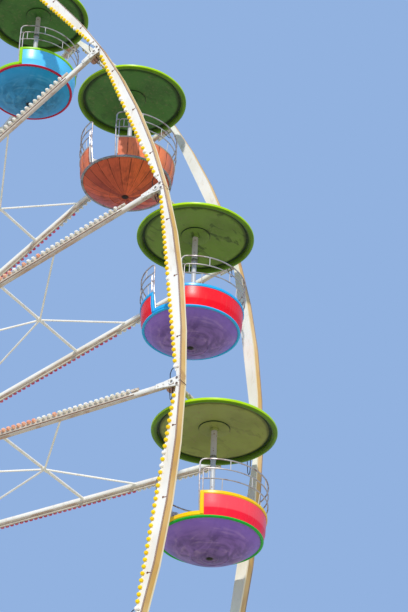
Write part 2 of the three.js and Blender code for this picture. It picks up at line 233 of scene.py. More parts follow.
def painted(name, colour, roughness=0.35, grime=0.3, chips=0.0, dark=0.8, specular=0.3, smudge=0.0,
            painted_sheen=0.0, shadow=None):
    """Paint or gelcoat with clouds, dirt, chips, smudges, a painted sheen on the top, or a ring of painted
    shade.
    """
    f = Finish(name, colour, roughness, specular=specular)
    clouds, grain, streaks = f.noise(0.45, 4.0), f.noise(0.02, 5.0), f.noise(0.05, 4.0, (1, 1, 0.1))
    dirt = f.times(f.band(streaks, 0.52, 0.75), grime)
    f.lay(shade(colour, dark), f.band(clouds, 0.35, 0.68))
    f.lay(GRIME, dirt)
    # Painted sheen: white laid over the wall above its crease, standing in for reflected sky.
    if painted_sheen:
        f.lay(rgb(255, 255, 255), f.band(f.axis("Z"), CREASE_Z - 0.006, CREASE_Z + 0.02), painted_sheen)
    # A ring of painted shade, darker towards the groove under the canopy's lip.
    if shadow:
        spread = f.plus(f.radius(), f.times(f.minus(clouds, 0.5), 0.05))
        f.lay(shade(colour, 0.16), f.band(spread, *shadow), 0.62)
    if smudge:
        f.lay(shade(colour, 0.3), f.band(f.noise(0.22, 6.0, (1, 0.45, 1), 1.4), 0.56, 0.66), smudge)
    if chips:
        spots = f.band(f.noise(0.035, 6.0, twist=0.4), 0.70 - chips, 0.73 - chips)
        f.lay(RUST, spots)
        f.bump(f.minus(f.times(grain, 0.25), spots), 0.0012)
    else:
        f.bump(grain, 0.0005)
    f.rough(f.plus(f.times(clouds, 0.6), f.times(dirt, 0.8)), roughness * 0.7, roughness * 1.6)
    return f.material


def off_joint(f):
    """How far a place is from the nearest spoke's angle, as a share of a bay."""
    bays = f.times(f.turns(True), float(GONDOLAS))
    return f.unsigned(f.minus(bays, f.calc("ROUND", bays)))


def rim_tan(f, clouds, streaks, patches, off):
    """The rims' outer faces: streaked tan, a painted highlight along the back edge, a painted shadow line by
    the white front, and wear at the joints.
    """
    depth = f.unsigned(f.axis("Y"))
    tan = f.blend(f.band(clouds, 0.4, 0.66), rgb(246, 202, 130), rgb(232, 180, 92))
    tan = f.blend(f.times(f.band(streaks, 0.5, 0.7), 0.5), tan, rgb(206, 160, 104))
    # Painted highlight: a pale strip along the back edge of the face.
    tan = f.blend(f.band(depth, RIM_BACK + 0.042, RIM_BACK + 0.034), tan, rgb(255, 234, 190))
    # Painted shade: a brown strip where the face meets the white front.
    tan = f.blend(f.band(depth, RIM_FACE - 0.030, RIM_FACE - 0.022), tan, rgb(172, 134, 98))
    worn = f.times(f.band(patches, 0.54, 0.62), f.band(off, 0.09, 0.03))
    return f.blend(f.times(worn, 0.6), tan, rgb(190, 140, 84))


def structure(name, rim=False, side_range=(0.4, 0.6)):
    """White paint of the wheel's beams, with rust that weeps at the joints. The rims' outer faces are tan;
    the other beams' sides are tan with painted shade and grime.
    """
    f = Finish(name, rgb(242, 239, 230), 0.4, specular=0.3)
    clouds, grain = f.noise(1.1, 4.0), f.noise(0.03, 5.0)
    streaks, patches = f.noise(0.09, 5.0, (1, 1, 0.3), 0.5), f.noise(0.28, 5.0, twist=0.8)
    f.lay(rgb(228, 221, 206), f.band(clouds, 0.38, 0.7))
    f.lay(rgb(196, 180, 152), f.band(streaks, 0.56, 0.78), 0.45)
    off, radius = off_joint(f), f.radius(True)
    facing = f.unsigned(f.axis("Y", f.node("TexCoord", output="Normal")))
    sideways = f.band(f.minus(1.0, facing), *side_range)
    if rim:
        f.lay(rim_tan(f, clouds, streaks, patches, off), f.times(sideways, f.band(radius, *TAN_STARTS)))
        f.lay(rgb(74, 50, 38), f.band(off, SEAM, SEAM * 0.6))
    else:
        # Painted shade with grime: the beams' sides turn tan, as if in warm shade from the ground.
        side_shade_and_grime = f.plus(f.times(f.band(patches, 0.42, 0.66), 0.45), 0.42)
        f.lay(rgb(190, 154, 128), f.times(sideways, side_shade_and_grime))
    weep = f.times(f.band(off, 0.045, 0.006), f.band(f.noise(0.06, 6.0, twist=0.8), 0.50, 0.64))
    weep = f.times(weep, f.band(radius, 15.4, 15.95))
    f.lay(RUST, weep, 0.6)
    f.lay(RUST, f.band(f.noise(0.02, 5.0), 0.72, 0.76), 0.6)
    f.rough(f.plus(clouds, weep), 0.28, 0.6)
    f.bump(f.minus(f.times(grain, 0.3), weep), 0.0015)
    return f.material


def bare_metal(name, colour, stain, roughness=0.35, stained=0.5):
    """Chromed or galvanised tube, with a bloom in patches."""
    f = Finish(name, shade(colour, 0.85), roughness, metallic=0.75)
    clouds, grain = f.noise(0.12, 5.0, twist=0.6), f.noise(0.012, 4.0)
    bloom = f.times(f.band(clouds, 0.45, 0.68), stained)
    f.lay(colour, grain)
    f.lay(stain, bloom)
    f.rough(f.plus(bloom, f.times(grain, 0.4)), roughness * 0.7, roughness * 1.8)
    f.bump(grain, 0.0004)
    return f.material


def planks(name, count, radial, light, deep):
    """Varnished boards in a ring: each has its own tint, grain along it and dark joints."""
    f = Finish(name, light, 0.45, specular=0.25)
    radius, place = f.radius(), f.times(f.turns(), float(count))
    board, across = f.calc("FLOOR", place), f.calc("FRACT", place)
    joint = f.calc("MINIMUM", across, f.minus(1.0, across))
    run = radius if radial else f.axis("Z")
    grain_places = f.node("CombineXYZ", {0: f.times(place, 0.12), 1: board, 2: run})
    grain = f.noise(0.012, 5.0, (1, 1, 0.08), 0.4, grain_places)
    f.lay(deep, f.node("TexWhiteNoise", {"W": board}, "Value", noise_dimensions="1D"))
    f.lay(shade(deep, 0.55), f.band(grain, 0.45, 0.7), 0.45)
    f.lay(shade(deep, 0.66), f.band(f.noise(0.16, 4.0, (1, 1, 0.5), 0.5), 0.48, 0.68), 0.5)
    f.lay(light, f.band(radius, 0.45, 0.80), 0.35)
    worn = f.band(f.noise(0.10, 4.0, twist=0.6), 0.30, 0.62)
    edge = f.times(f.band(joint, 0.055, 0.015), f.plus(f.times(worn, 0.6), 0.3))
    edge = f.calc("MAXIMUM", edge, f.band(radius, 0.085, 0.05))
    f.lay(rgb(58, 26, 18), edge)
    f.rough(f.plus(grain, edge), 0.3, 0.6)
    f.bump(f.minus(f.times(grain, 0.4), edge), 0.003)
    return f.material


def smeared(name, colour, pale, dark, edge_tone):
    """A moulded bowl, brighter and more saturated near its edge, and dulled by cloudy smears that swirl
    round its middle.
    """
    f = Finish(name, colour, 0.35, specular=0.3)
    swirl = f.noise(0.42, 5.0, twist=2.2)
    wisps = f.noise(1.0, 5.0, twist=1.3, places=f.rings(1.2, 8.5))
    radius = f.radius()
    f.lay(dark, f.band(swirl, 0.36, 0.66))
    f.lay(pale, f.band(wisps, 0.50, 0.74), 0.5)
    f.lay(shade(dark, 0.8), f.band(wisps, 0.48, 0.34), 0.4)
    # Brighter, more saturated colour towards the edge.
    f.lay(edge_tone, f.band(f.plus(radius, f.times(f.minus(swirl, 0.5), 0.4)), 0.50, 0.82), 0.62)
    f.lay(shade(dark, 0.7), f.band(radius, 0.30, 0.12), 0.45)
    f.lay(rgb(38, 28, 30), f.band(radius, 0.075, 0.045))
    f.rough(wisps, 0.2, 0.6)
    f.bump(f.noise(0.05, 4.0), 0.0012)
    return f.material


def lamp_glass(name, colour, glow):
    """A moulded lamp cap: waxy, with a second tint in clouds."""
    f = Finish(name, colour, 0.3, specular=0.3)
    cloud = f.noise(0.09, 2.0)
    f.lay(glow, f.band(cloud, 0.35, 0.7))
    f.shader.inputs["Subsurface Weight"].default_value = 0.15
    f.shader.inputs["Subsurface Radius"].default_value = (0.02, 0.015, 0.008)
    f.rough(cloud, 0.2, 0.5)
    f.bump(f.noise(0.012, 2.0), 0.0008)
    return f.material


def tread_plate(name, colour):
    """Steel plate with raised ovals in alternate directions."""
    f = Finish(name, colour, 0.5, metallic=0.4)
    ovals = []
    for turn in (45, -45):
        cells = f.along((8, 26, 1), places=f.along((1, 1, 0), (0, 0, radians(turn))))
        wave = f.node("TexVoronoi", {"Vector": cells, "Scale": 1.0, "Randomness": 0.0}, "Distance",
                      feature="F1")
        ovals.append(f.band(wave, 0.42, 0.3))
    raised, wear = f.calc("MAXIMUM", *ovals), f.noise(0.5, 5.0)
    f.lay(shade(colour, 0.6), f.band(wear, 0.4, 0.7))
    f.lay(shade(colour, 1.6), raised, 0.5)
    f.rough(wear, 0.35, 0.65)
    f.bump(raised, 0.004)
    return f.material


WHITE = rgb(248, 245, 236)
finishes = {
    "rim": structure("rim_paint", rim=True),
    "spoke": structure("spoke_paint", side_range=(0.25, 0.55)),
    # Beams that carry lamps: more of their sides are tan, a painted shade cast by the lamps and their tray.
    "lit_spoke": structure("lamp_shaded_spoke_paint", side_range=(0.08, 0.42)),
    # The lamps' tray is grey-beige, a painted shade from the lamps above it.
    "tray": painted("lamp_tray_paint", rgb(204, 192, 174), 0.5, 0.5, 0.03),
    "white": painted("white_enamel", WHITE, 0.35, 0.35, 0.06),
    "support": painted("support_paint", WHITE, 0.4, 0.35, 0.03),
    "base": painted("base_paint", rgb(124, 128, 134), 0.5, 0.5, 0.04),
    "deck": tread_plate("deck_tread", rgb(128, 130, 132)),
    "steel": bare_metal("machined_steel", rgb(176, 170, 162), rgb(120, 92, 64), 0.4),
    "rail": bare_metal("chromed_tube", rgb(200, 193, 190), rgb(134, 100, 84), 0.42, 0.62),
    "silver": painted("silver_trim", rgb(206, 204, 202), 0.3, 0.3, dark=0.66),
    "zinc": bare_metal("zinc_band", rgb(158, 158, 162), rgb(64, 60, 60), 0.26, 0.5),
    "tie": painted("tie_paint", rgb(255, 250, 238), 0.35, 0.25, dark=0.9),
    "housing": painted("rusty_housing", rgb(200, 152, 134), 0.6, 0.6, 0.10, dark=0.72),
    "short_post": painted("short_post_paint", rgb(206, 202, 198), 0.4, 0.5, 0.04),
    "bracket": painted("rusty_bracket", rgb(222, 208, 188), 0.5, 0.6, 0.12),
    "bearing": painted("rusty_casting", rgb(138, 92, 72), 0.6, 0.4, 0.12),
    "cable": painted("black_cable", rgb(24, 24, 26), 0.5, 0.1),
    "dark": painted("dark_plug", rgb(34, 28, 28), 0.6, 0.2),
    "lamp_yellow": lamp_glass("lamp_yellow", rgb(254, 218, 4), rgb(252, 200, 0)),
    "lamp_clear": lamp_glass("lamp_clear", rgb(248, 246, 238), rgb(232, 224, 206)),
    "lamp_salmon": lamp_glass("lamp_salmon", rgb(250, 196, 164), rgb(240, 156, 120)),
    "lamp_red": lamp_glass("lamp_red", rgb(230, 104, 130), rgb(204, 48, 92)),
    "canopy_top": painted("canopy_gelcoat", rgb(182, 226, 0), 0.3, 0.08, dark=0.88),
    # The rolled edge is a darker green copy of the canopy's lime: painted shade under the lip.
    "canopy_roll_shaded": painted("canopy_rolled_edge_shaded", rgb(104, 148, 16), 0.35, 0.15, dark=0.75,
                           specular=0.2, shadow=ROLL_RIM_SHADE),
    # Painted shade: dark green laid in the groove under the lip and on the step round the middle disc.
    "canopy_groove_shade": painted("canopy_groove_shade", rgb(44, 66, 36), 0.5, 0.2, specular=0.2),
    # Three greens for the canopies' undersides, from dark green to light olive, chosen by livery.
    "shaded_green": painted("canopy_underside", rgb(72, 122, 46), 0.5, dark=0.7, smudge=0.35,
                            shadow=UNDER_RIM_SHADE),
    "mid_green": painted("canopy_underside_mid_green", rgb(114, 146, 50), 0.5, dark=0.75, smudge=0.8,
                         shadow=UNDER_RIM_SHADE),
    "olive_green": painted("canopy_underside_olive", rgb(148, 158, 74), 0.5, 0.4, smudge=0.3,
                           shadow=UNDER_RIM_SHADE),
    "post_top": painted("post_shaded_paint", rgb(202, 192, 180), 0.45, 0.6, 0.06),
    "post": painted("post_paint", rgb(196, 198, 200), 0.35, 0.4, 0.03),
    "bench": painted("bench_gelcoat", rgb(226, 222, 212), 0.4, 0.4),
    "floor": tread_plate("tub_floor", rgb(110, 110, 112)),
    "teal_bowl": smeared("teal_bowl", rgb(54, 148, 198), rgb(112, 184, 212), rgb(34, 116, 160),
                         rgb(30, 176, 236)),
    "purple_bowl": smeared("purple_bowl", rgb(140, 102, 182), rgb(186, 150, 200), rgb(104, 72, 142),
                           rgb(158, 116, 220)),
    "wood_bowl": planks("wood_bowl", BOWL_PLANKS, True, rgb(236, 108, 66), rgb(160, 68, 56)),
    "wood": planks("wood_wall", PLANKS, False, rgb(255, 140, 84), rgb(166, 88, 90)),
}
# Each gelcoat's last value is how much painted sheen lightens its wall above the crease.
GELCOATS = (("blue", rgb(96, 204, 255), 0.0), ("red", rgb(255, 2, 24), 0.012),
            ("crimson", rgb(255, 26, 52), 0.06), ("lime", rgb(150, 214, 20), 0.0),
            ("deep_red", rgb(196, 14, 60), 0.0), ("sky", rgb(40, 178, 240), 0.0),
            ("yellow", rgb(254, 204, 0), 0.0), ("green", rgb(20, 176, 50), 0.0))
for name, colour, painted_sheen in GELCOATS:
    finishes[name] = painted(f"{name}_gelcoat", colour, 0.28, 0.08, dark=0.94, painted_sheen=painted_sheen)


# Shapes
def arc(first, last, steps):
    return [first + (last - first) * i / steps for i in range(steps + 1)]


def full_turn(steps):
    return [2 * pi * i / steps for i in range(steps)]


def circle(radius, sides):
    return [(radius * cos(angle), radius * sin(angle)) for angle in full_turn(sides)]


def rounded(width, height, corner):
    """A rectangle with cut corners, as a section."""
    w, h = width / 2, height / 2
    return [(w, -h + corner), (w, h - corner), (w - corner, h), (-w + corner, h),
            (-w, h - corner), (-w, -h + corner), (-w + corner, -h), (w - corner, -h)]


def spot(radius, angle, height):
    return Vector((radius * cos(angle), radius * sin(angle), height))


def beside(way):
    """Two directions that are square to a way and to one another."""
    side = way.cross(UP if abs(way.z) < 0.9 else ALONG).normalized()
    return side, way.cross(side)


class Shape:
    """Gathers closed solids into one piece, each in the finishes that are named for it."""

    def __init__(self, name):
        self.name = name
        self.points, self.faces, self.marks, self.looks = [], [], [], []

    def mark(self, look):
        """A finish's number in this piece."""
        if look not in self.looks:
            self.looks.append(look)
        return self.looks.index(look)

    def skin(self, rings, look, closed=False):
        """A surface through rings of points, which meets itself if closed, and else has flat ends.

        It has one finish, or a list of them with one for each side of the rings.
        """
        count, start = len(rings[0]), len(self.points)
        marks = [self.mark(each) for each in (look if isinstance(look, list) else [look] * count)]
        last = len(rings) if closed else len(rings) - 1
        faces = []
        for r in range(last):
            a, b = r * count, (r + 1) % len(rings) * count
            faces += [(a + i, a + (i + 1) % count, b + (i + 1) % count, b + i) for i in range(count)]
            self.marks += marks
        if not closed:
            faces += [tuple(range(count)), tuple(range(last * count, (last + 1) * count))]
            self.marks += [marks[0]] * 2
        self.points += [point for ring in rings for point in ring]
        self.faces += [tuple(corner + start for corner in face) for face in faces]

    def sweep(self, path, section, up, look, closed=False):
        """A section carried along a path. Its second axis stays near up, or twists as little as it can."""
        rings, side = [], None
        for i, point in enumerate(path):
            ahead = path[(i + 1) % len(path)] if closed or i + 1 < len(path) else point
            behind = path[i - 1] if closed or i else point
            way = (ahead - behind).normalized()
            if up is not None:
                side = way.cross(up[i] if isinstance(up, list) else up)
            elif side is None:
                side = beside(way)[0]
            side = (side - way * side.dot(way)).normalized()
            rise = side.cross(way)
            rings.append([point + side * x + rise * y for x, y in section])
        self.skin(rings, look, closed)

    def tube(self, path, radius, sides, look):
        self.sweep(path, circle(radius, sides), None, look)

    def bar(self, start, end, width, height, up, look):
        """A straight bar with eased corners between two points."""
        self.sweep([start, end], rounded(width, height, min(width, height) * 0.2), up, look)

    def turn(self, profile, angles, look, closed=True):
        """A closed profile of (radius, height) carried round Z, through the angles."""
        self.skin([[spot(r, angle, z) for r, z in profile] for angle in angles], look, closed)

    def lathe(self, place, out, profile, sides, look):
        """A closed profile of (radius, height) carried round an axis."""
        side, rise = beside(out)
        self.skin([[place + (side * x + rise * y) * r + out * h for r, h in profile]
                   for x, y in circle(1.0, sides)], look, True)

    def stack(self, place, out, levels, sides, look):
        """Regular outlines of (radius, height) over a place."""
        side, rise = beside(out)
        self.skin([[place + side * x + rise * y + out * height for x, y in circle(radius, sides)]
                   for radius, height in levels], look)

    def plate(self, outline, place, out, up, thickness, look):
        """A flat plate: an outline across and up from a place, as thick as it stands out."""
        across = up.cross(out)
        self.skin([[place + across * x + up * y + out * height for x, y in outline]
                   for height in (0.0, thickness)], look)

    def bolt(self, place, out, size, look):
        """A hexagon head on a washer, proud of a face."""
        wide, low = size * 1.35, size * 0.25
        self.stack(place, out, [(wide, 0), (wide, low)], 8, look)
        self.stack(place, out, [(size, low), (size, size * 0.85), (size * 0.8, size)], 6, look)

    def mesh(self):
        data = bpy.data.meshes.new(self.name)
        data.from_pydata([tuple(p) for p in self.points], [], self.faces)
        data.polygons.foreach_set("material_index", self.marks)
        for look in self.looks:
            data.materials.append(finishes[look])
        work = bmesh.new()
        work.from_mesh(data)
        bmesh.ops.remove_doubles(work, verts=work.verts, dist=1e-5)
        bmesh.ops.dissolve_degenerate(work, edges=work.edges, dist=1e-6)
        bmesh.ops.recalc_face_normals(work, faces=work.faces)
        work.to_mesh(data)
        work.free()
        data.shade_smooth()
        data.set_sharp_from_angle(angle=radians(32))
        return data


def put(name, data, body, place=Vector(), replaces=()):
    """A piece that rides on a body, in the place of CAD nodes if it has any."""
    piece = add(name, data, place)
    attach(piece, body)
    if replaces:
        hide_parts(*replaces)


# Gondola, in metres from its axle
FINE, COARSE, COARSEST = full_turn(72), full_turn(20), full_turn(16)
SKEW = radians(2.5)             # how far the doorways are turned from the axle
SIDES = (SKEW, pi + SKEW)
DOORWAY = radians(20)           # half of a doorway in the walls
RAIL_END = radians(17)          # and between the hoops
FLOOR_Z, FLOOR_RIM, FLOOR_THICK = -2.215, 0.82, 0.02

# Profiles of (radius, height)
CANOPY_TOP = [(0.0, -0.118), (0.30, -0.127), (0.60, -0.150), (0.85, -0.178), (0.96, -0.190),
              (1.005, -0.197), (1.030, -0.207), (1.040, -0.221), (1.040, -0.243), (1.035, -0.255)]
CANOPY_ROLL = [(1.022, -0.267), (1.000, -0.273), (0.974, -0.270), (0.954, -0.260), (0.944, -0.246),
               (0.940, -0.208)]
# The groove and the step round the disc take a dark finish of painted shade.
CANOPY_GROOVE = [(0.924, -0.204), (0.908, -0.207)]
CANOPY_CEILING = [(0.896, -0.213), (0.876, -0.222), (0.852, -0.226), (0.75, -0.217), (0.60, -0.199),
                  (0.45, -0.182), (0.30, -0.169), (0.262, -0.166)]
CANOPY_STEP, CANOPY_DISC = [(0.256, -0.168), (0.252, -0.184)], [(0.246, -0.187), (0.0, -0.184)]
BOSS = [(0.0, -0.177), (0.080, -0.177), (0.078, -0.197), (0.060, -0.221), (0.0, -0.223)]
POST_TOP = [(0.0, -0.02), (0.05, -0.02), (0.05, -0.70), (0.0, -0.70)]
POST_COLLAR = [(0.0, -0.695), (0.056, -0.695), (0.058, -0.70), (0.058, -0.745), (0.054, -0.75), (0.0, -0.75)]
POST = [(0.0, -0.74), (0.042, -0.74), (0.042, FLOOR_Z + 0.004), (0.0, FLOOR_Z + 0.004)]
SLEEVE = [(0.047, -0.15), (0.074, -0.15), (0.078, -0.146), (0.078, -0.128), (0.070, -0.124),
          (0.070, 0.124), (0.078, 0.128), (0.078, 0.146), (0.074, 0.15), (0.047, 0.15)]
WALL = [(0.838, -2.222), (0.842, -2.200), (0.855, -2.150), (0.866, -2.111), (0.869, -2.098),
        (0.875, -2.00), (0.882, -1.90), (0.886, -1.835)]
WALL_THICK = 0.032
SEAT = [(0.848, -1.925), (0.848, -1.866), (0.575, -1.858), (0.552, -1.862), (0.542, -1.874),
        (0.541, -1.905), (0.548, -1.918), (0.565, -1.922)]
FLOOR = [(0.0, FLOOR_Z), (FLOOR_RIM, FLOOR_Z), (FLOOR_RIM, FLOOR_Z - FLOOR_THICK),
         (0.0, FLOOR_Z - FLOOR_THICK)]
BAND = [(0.820 + x * 0.026, -2.236 + y * 0.022) for x, y in circle(1.0, 12)]
PLUG = [(0.0, -2.546), (0.047, -2.546), (0.047, -2.555), (0.038, -2.560), (0.0, -2.560)]

# An outline of (across, up)
SLEEVE_WING = [(-0.11, 0.0), (0.11, 0.0), (0.055, 0.075), (-0.055, 0.075)]
WING_Y, WING_FOOT_Z, WING_THICK = 0.07, -0.121, 0.012

# Finishes of the wall, the bowl, the trims, the band and the canopy's underside
LIVERIES = (("blue", "teal_bowl", "lime", "deep_red", "shaded_green"),
            ("wood", "wood_bowl", "silver", "zinc", "shaded_green"),
            ("red", "purple_bowl", "sky", "sky", "mid_green"),
            ("crimson", "purple_bowl", "yellow", "green", "olive_green"))


def canopy_shape(under):
    """Canopy, its centre post down to the floor, and the sleeve that hangs on the axle."""
    shape = Shape(f"canopy_{under}")
    looks = ["canopy_top"] * (len(CANOPY_TOP) - 1) + ["canopy_roll_shaded"] * len(CANOPY_ROLL)
    looks += ["canopy_groove_shade"] * (len(CANOPY_GROOVE) + 1) + [under] * (len(CANOPY_CEILING) - 1)
    looks += ["canopy_groove_shade"] * len(CANOPY_STEP) + [under] * (1 + len(CANOPY_DISC))
    canopy = CANOPY_TOP + CANOPY_ROLL + CANOPY_GROOVE + CANOPY_CEILING + CANOPY_STEP + CANOPY_DISC
    shape.turn(canopy, FINE, looks)
    for part, look in ((POST_TOP, "post_top"), (POST_COLLAR, "steel"), (POST, "post"), (BOSS, under)):
        shape.turn(part, COARSE, look)
    shape.lathe(Vector(), ALONG, SLEEVE, 24, "steel")
    for hand in (-1, 1):
        place = Vector((0, hand * WING_Y - WING_THICK / 2, WING_FOOT_Z))
        shape.plate(SLEEVE_WING, place, ALONG, UP, WING_THICK, "post_top")
    return shape


SLIT, SLIT_DEPTH = 0.012, 0.005         # a board joint's half width, as an angle, and its depth


def wall_turns(start, end, boards):
    """Angles along a wall, each with how far it lies in: grooves between boards, or none."""
    if not boards:
        return [(angle, 0.0) for angle in arc(start, end, 44)]
    step = 2 * pi / PLANKS
    turns = [(start, 0.0), (end, 0.0)]
    for board in range(ceil(start / step), int(end // step) + 1):
        joint = board * step
        if start + 2 * SLIT < joint < end - 2 * SLIT:
            turns += [(joint - step / 2, 0.0), (joint - SLIT, 0.0), (joint, SLIT_DEPTH), (joint + SLIT, 0.0)]
    return sorted(set(turns))


def wall_part(shape, look, start, end, boards):
    """A wall from doorway to doorway: near upright above its crease, and drawn in below it."""
    rings = []
    for angle, inset in wall_turns(start, end, boards):
        outer = [spot(r - inset, angle, z) for r, z in WALL]
        rings.append(outer + [spot(r - WALL_THICK, angle, z) for r, z in reversed(WALL)])
    shape.skin(rings, look)


def moulding(middle, height, width, thickness):
    """A trim's section about a place, as a profile."""
    return [(middle + x, height + y) for x, y in rounded(width, thickness, 0.012)]


def wall_trims(shape, look, start, end, cap_height, post_width):
    """The cap along a wall's top, and the posts at its ends."""
    cap = moulding(0.874, -1.811 - cap_height / 2, 0.048, cap_height)
    shape.turn(cap, arc(start - 0.03, end + 0.03, 44), look, closed=False)
    for angle in (start, end):
        path = [spot(0.838, angle, -2.20), spot(0.868, angle, -2.06), spot(0.876, angle, -1.84)]
        shape.sweep(path, rounded(post_width, 0.048, 0.01), spot(1, angle, 0), look)


def bowl_profile():
    """A shallow dish with two moulded rings round its hub, closed on top by the floor."""
    steps, rim, rim_z, foot_z = 14, 0.806, -2.238, -2.553
    sphere = (rim ** 2 + (foot_z - rim_z) ** 2) / (2 * (rim_z - foot_z))

    def height(r):
        return foot_z + sphere - sqrt(sphere ** 2 - r ** 2)
    dish = [(r, height(r)) for r in [rim * (1 - i / steps) for i in range(steps + 1)]]
    for r in (0.30, 0.13):
        lower = height(r)
        dish += [(r + 0.012, lower), (r + 0.004, lower - 0.006), (r - 0.006, lower - 0.006),
                 (r - 0.012, lower - 0.001)]
    dish.sort(key=lambda place: -place[0])
    return dish + [(0.0, -2.24), (rim - 0.01, -2.232)]


def tub_shape(wall, bowl, trim, band):
    """Bowl, floor, band, the two walls with their trims and benches, and the doorways' sills."""
    shape, wooden = Shape(f"tub_{wall}"), wall == "wood"
    cap_height, post_width = (0.034, 0.026) if wooden else (0.062, 0.062)
    for side in SIDES:
        start, end = side - pi / 2 + DOORWAY, side + pi / 2 - DOORWAY
        wall_part(shape, wall, start, end, wooden)
        wall_trims(shape, trim, start, end, cap_height, post_width)
        shape.turn(SEAT, arc(start + 0.34, end - 0.34, 24), "bench", closed=False)
        if not wooden:
            doorway, half = side - pi / 2, DOORWAY + 0.035
            sill = moulding(0.829, -2.182, 0.046, 0.078)
            shape.turn(sill, arc(doorway - half, doorway + half, 12), trim, closed=False)
    for part, look in ((FLOOR, "floor"), (BAND, band), (bowl_profile(), bowl)):
        shape.turn(part, FINE, look)
    shape.turn(PLUG, COARSEST, "dark")
    return shape


RAIL, INNER_RAIL, CLIP, SHORT_POST = 0.0125, 0.01075, 0.01, 0.00775     # the tubes' radii
RAIL_RADIUS = 0.903
RAIL_HEIGHTS = (-1.262, -1.432, -1.614, -1.83)      # hoop, inner hoop, low rail and wall
SHORT_POSTS = ((0, 1, (-42, 10, 58)), (1, 2, (-64, -16, 36)), (2, 3, (-50, -3, 62)))
SHORT_POST_FOOT = 0.874         # radius where the lowest ones stand on the wall
INNER_POST = radians(3.6)       # how far the inner hoop lies within the outer one


def rail_lean(z):
    """How far out the rails' end posts are at a height: along the wall, then upright."""
    stops = ((-2.215, 0.822), (-1.84, 0.884), (-1.62, RAIL_RADIUS), (-1.0, RAIL_RADIUS))
    for (z0, r0), (z1, r1) in zip(stops, stops[1:]):
        if z <= z1:
            return r0 + (r1 - r0) * (z - z0) / (z1 - z0)
    return RAIL_RADIUS


def hoop_path(start, end, top, foot, corner):
    """Up from the foot, round a corner, along the arc, and down again."""
    turn = corner / RAIL_RADIUS
    heights = [z for z in (-2.215, -2.03, -1.84, -1.72, -1.62, -1.53) if z >= foot - 1e-6]
    bend = [(1 - cos(a), sin(a)) for a in arc(0, pi / 2, 5)]

    def leg(angle, hand):
        return [spot(rail_lean(z), angle, z) for z in heights] + [
            spot(RAIL_RADIUS, angle + hand * turn * x, top - corner + corner * y) for x, y in bend]
    across = [spot(RAIL_RADIUS, a, top) for a in arc(start + turn, end - turn, 26)[1:-1]]
    return leg(start, 1) + across + leg(end, -1)[::-1]


def short_posts(shape, side):
    for upper, lower, angles in SHORT_POSTS:
        foot_radius = SHORT_POST_FOOT if lower == 3 else RAIL_RADIUS
        for angle in angles:
            at = side + radians(angle)
            foot, top = spot(foot_radius, at, RAIL_HEIGHTS[lower]), RAIL_HEIGHTS[upper]
            shape.tube([foot, spot(RAIL_RADIUS, at, top)], SHORT_POST, 6, "short_post")


def rail_shape():
    """Guard rails of both sides: a hoop from sill to sill, one within it, a low rail and short posts."""
    shape = Shape("rails")
    top, middle, low, _ = RAIL_HEIGHTS
    for side in SIDES:
        ends = side - pi / 2 + RAIL_END, side + pi / 2 - RAIL_END
        inner = ends[0] + INNER_POST, ends[1] - INNER_POST
        shape.tube(hoop_path(*ends, top, -2.215, 0.075), RAIL, 8, "rail")
        shape.tube(hoop_path(*inner, middle, -1.84, 0.05), INNER_RAIL, 8, "rail")
        shape.tube([spot(RAIL_RADIUS, angle, low) for angle in arc(*inner, 26)], INNER_RAIL, 8, "rail")
        short_posts(shape, side)
        for pair in zip(ends, inner):
            for z in (middle, low):
                shape.tube([spot(RAIL_RADIUS, angle, z) for angle in pair], CLIP, 8, "rail")
    return shape


def gondolas():
    roofs = {under: canopy_shape(under).mesh() for under in dict.fromkeys(kind[-1] for kind in LIVERIES)}
    tubs = [tub_shape(*kind[:-1]).mesh() for kind in LIVERIES]
    rails = rail_shape().mesh()
    for i, axle in enumerate(AXLES):
        tag, kind = f"gondola_{i + 1:02d}", i % len(LIVERIES)
        wall, under = LIVERIES[kind][0], LIVERIES[kind][-1]
        put(f"{tag}_roof_and_post", roofs[under], tag, axle, [f"{tag}_canopy"])
        put(f"{tag}_shell", tubs[kind], tag, axle, [f"{tag}_tub"])
        put(f"{tag}_rails", rails, tag, axle)


# Wheel
QUADRANTS = 4
QUARTER = 2 * pi / QUADRANTS
SPOKES_EACH = GONDOLAS // QUADRANTS
RIM_ARC_STEPS = 4
SPOKE_ROOT, SPOKE_TIP = 0.9, 16.08
SPOKE_ROOT_FACE, SPOKE_TIP_FACE = 1.241, 1.311      # how far out their faces are, at root and tip
SPOKE_RADIUS = 0.054
SPOKE_SINK = {-1: 0.054, 1: 0.088}          # from the spokes' face to their middles, front and back
SPOKE_SHIFT = {-1: 0.010, 1: 0.0}           # towards their lamps
LAMPS_END = 15.3
# The spokes' parts under lamps take the finish with more painted shade.
SPOKE_PARTS = {-1: ((SPOKE_ROOT, LAMPS_END, "lit_spoke"), (LAMPS_END, SPOKE_TIP, "spoke")),
               1: ((SPOKE_ROOT, SPOKE_TIP, "lit_spoke"),)}
TIES, TIE_TUBE, BRACE_TUBE, AXLE_TUBE = (12.57, 6.70), 0.029, 0.018, 0.045
TIE_SLEEVE, TIE_SLEEVE_HALF = 0.034, 0.07
BRACES = ((-1, 13.79), (1, 13.73), (-1, 9.65), (1, 9.23))       # side, and radius of the outer end
FLANGE, FLANGE_Y, FLANGE_DEPTH = (0.462, 1.3), 1.17, 0.16
TRAY_EDGE, TRAY_WIDTH, TRAY_THICK = 0.091, {-1: 0.100, 1: 0.046}, 0.03
LAMP_SEAT = {-1: 0.004, 1: -0.058}          # of the lamps' feet, out from the spokes' face
LAMP_ACROSS = 0.068
DOME = ((1.0, 0.0), (0.98, 0.42), (0.74, 0.82), (0.26, 1.0))
PLAIN_DOME = ((1.0, 0.0), (0.92, 0.55), (0.42, 1.0))


def radial(angle):
    """(outward, clockwise) at an angle of the wheel, seen from the front."""
    return Vector((cos(angle), 0, sin(angle))), Vector((sin(angle), 0, -cos(angle)))


